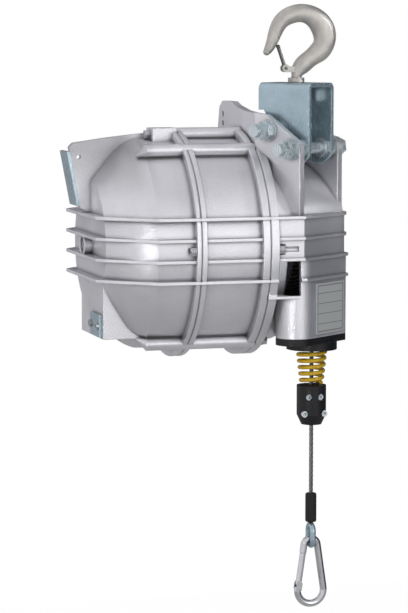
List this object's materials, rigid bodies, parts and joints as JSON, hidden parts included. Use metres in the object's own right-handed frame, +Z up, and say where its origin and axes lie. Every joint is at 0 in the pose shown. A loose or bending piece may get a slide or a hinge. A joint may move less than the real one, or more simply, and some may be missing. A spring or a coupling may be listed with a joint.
{
  "type": "tool balancer",
  "caption": "Hanging spring balancer: ribbed cast drum housing under a swivel hook, wire rope out below with buffer spring, stop clamp and snap hook",
  "frame": {"origin": "seat at the top of the suspension hook's bowl, where the balancer hangs", "axes": "+X along the drum axis towards the rope end, +Y to the back, +Z up; the rope hangs down along -Z"},
  "size_m": [0.3902, 0.3251, 0.8608],
  "materials": {
    "cast_aluminium": "satin die-cast aluminium, light grey",
    "zinc_steel": "zinc-plated steel with a bluish tint",
    "forged_steel": "forged steel, beige-grey, tumbled",
    "black_plastic": "black moulded plastic, matte",
    "black_rubber": "black rubber",
    "yellow_spring": "yellow coated spring steel",
    "bright_steel": "bright polished steel",
    "rope_steel": "stranded galvanized wire rope",
    "machined_steel": "machined steel",
    "plate_metal": "bare anodised plate",
    "bronze": "bearing bronze"
  },
  "bodies": {
    "housing": {"end_cover": "cast_aluminium", "drum_housing": "cast_aluminium", "rope_housing": "cast_aluminium", "rope_guide_cover": "black_plastic", "guide_bush": "bronze", "tie_bolts": "zinc_steel", "tie_nuts": "zinc_steel", "flange_screws": "zinc_steel", "shaft_cap": "machined_steel", "rating_plate": "plate_metal", "stop_plate": "zinc_steel", "worm_cover": "zinc_steel", "worm_cover_screws": "zinc_steel", "suspension_bracket": "zinc_steel", "bracket_bolts": "zinc_steel", "bracket_nuts": "zinc_steel", "bracket_washers": "zinc_steel", "bracket_spacers": "zinc_steel", "worm_bushes": "bronze", "upper_rope": "rope_steel"},
    "hook": {"suspension_hook": "forged_steel", "hook_nut": "machined_steel", "hook_thrust_washer": "machined_steel", "hook_split_pin": "machined_steel", "latch_pin": "machined_steel"},
    "latch": {"safety_latch": "forged_steel"},
    "drum": {"rope_drum": "cast_aluminium", "rope_windings": "rope_steel", "spring_cases": "machined_steel", "mainsprings": "machined_steel", "drum_bearings": "machined_steel"},
    "arbor": {"main_shaft": "machined_steel", "shaft_screw": "machined_steel", "worm_wheel": "bronze"},
    "worm_drive": {"worm": "machined_steel"},
    "load_line": {"buffer_spring": "yellow_spring", "stop_clamp_front": "black_plastic", "stop_clamp_back": "black_plastic", "clamp_screws": "zinc_steel", "lower_rope": "rope_steel", "rope_sleeve": "black_rubber", "thimble": "rope_steel"},
    "snap_hook": {"carabiner_body": "bright_steel", "gate_pin": "bright_steel"},
    "snap_gate": {"carabiner_gate": "bright_steel"}
  },
  "joints": [
    {"name": "hook_swivel", "type": "hinge", "parent": "housing", "child": "hook", "pos_m": [0, 0, 0], "axis": [0, 0, 1], "continuous": true},
    {"name": "latch_pivot", "type": "hinge", "parent": "hook", "child": "latch", "pos_m": [-0.0165, 0, -0.064], "axis": [0, 1, 0], "range_deg": [0, 38], "stiffness_Nm_per_rad": 0.05},
    {"name": "drum_spin", "type": "hinge", "parent": "housing", "child": "drum", "pos_m": [0, 0.08, -0.312], "axis": [1, 0, 0], "range_deg": [0, 1330]},
    {"name": "rope_pull", "type": "slide", "parent": "housing", "child": "load_line", "axis": [0, 0, -1], "range_m": [0, 2], "stiffness_N_per_m": 10, "springref_m": -4, "deforming": ["upper_rope"]},
    {"name": "snap_swing", "type": "hinge", "parent": "load_line", "child": "snap_hook", "pos_m": [0.024, -0.002, -0.7353], "axis": [1, 0, 0], "range_deg": [-75, 75]},
    {"name": "gate_pivot", "type": "hinge", "parent": "snap_hook", "child": "snap_gate", "pos_m": [0.00583, -0.002, -0.80028], "axis": [0, 1, 0], "range_deg": [0, 15], "stiffness_Nm_per_rad": 0.05},
    {"name": "tension_turn", "type": "hinge", "parent": "housing", "child": "arbor", "pos_m": [0, 0.08, -0.312], "axis": [1, 0, 0], "continuous": true},
    {"name": "worm_spin", "type": "hinge", "parent": "housing", "child": "worm_drive", "pos_m": [-0.256, 0.08, -0.409], "axis": [0, 1, 0], "continuous": true}
  ],
  "couplings": [
    {"joint": "rope_pull", "follows": "drum_spin", "m_per_rad": 0.086},
    {"joint": "worm_spin", "follows": "tension_turn", "ratio": -56}
  ]
}
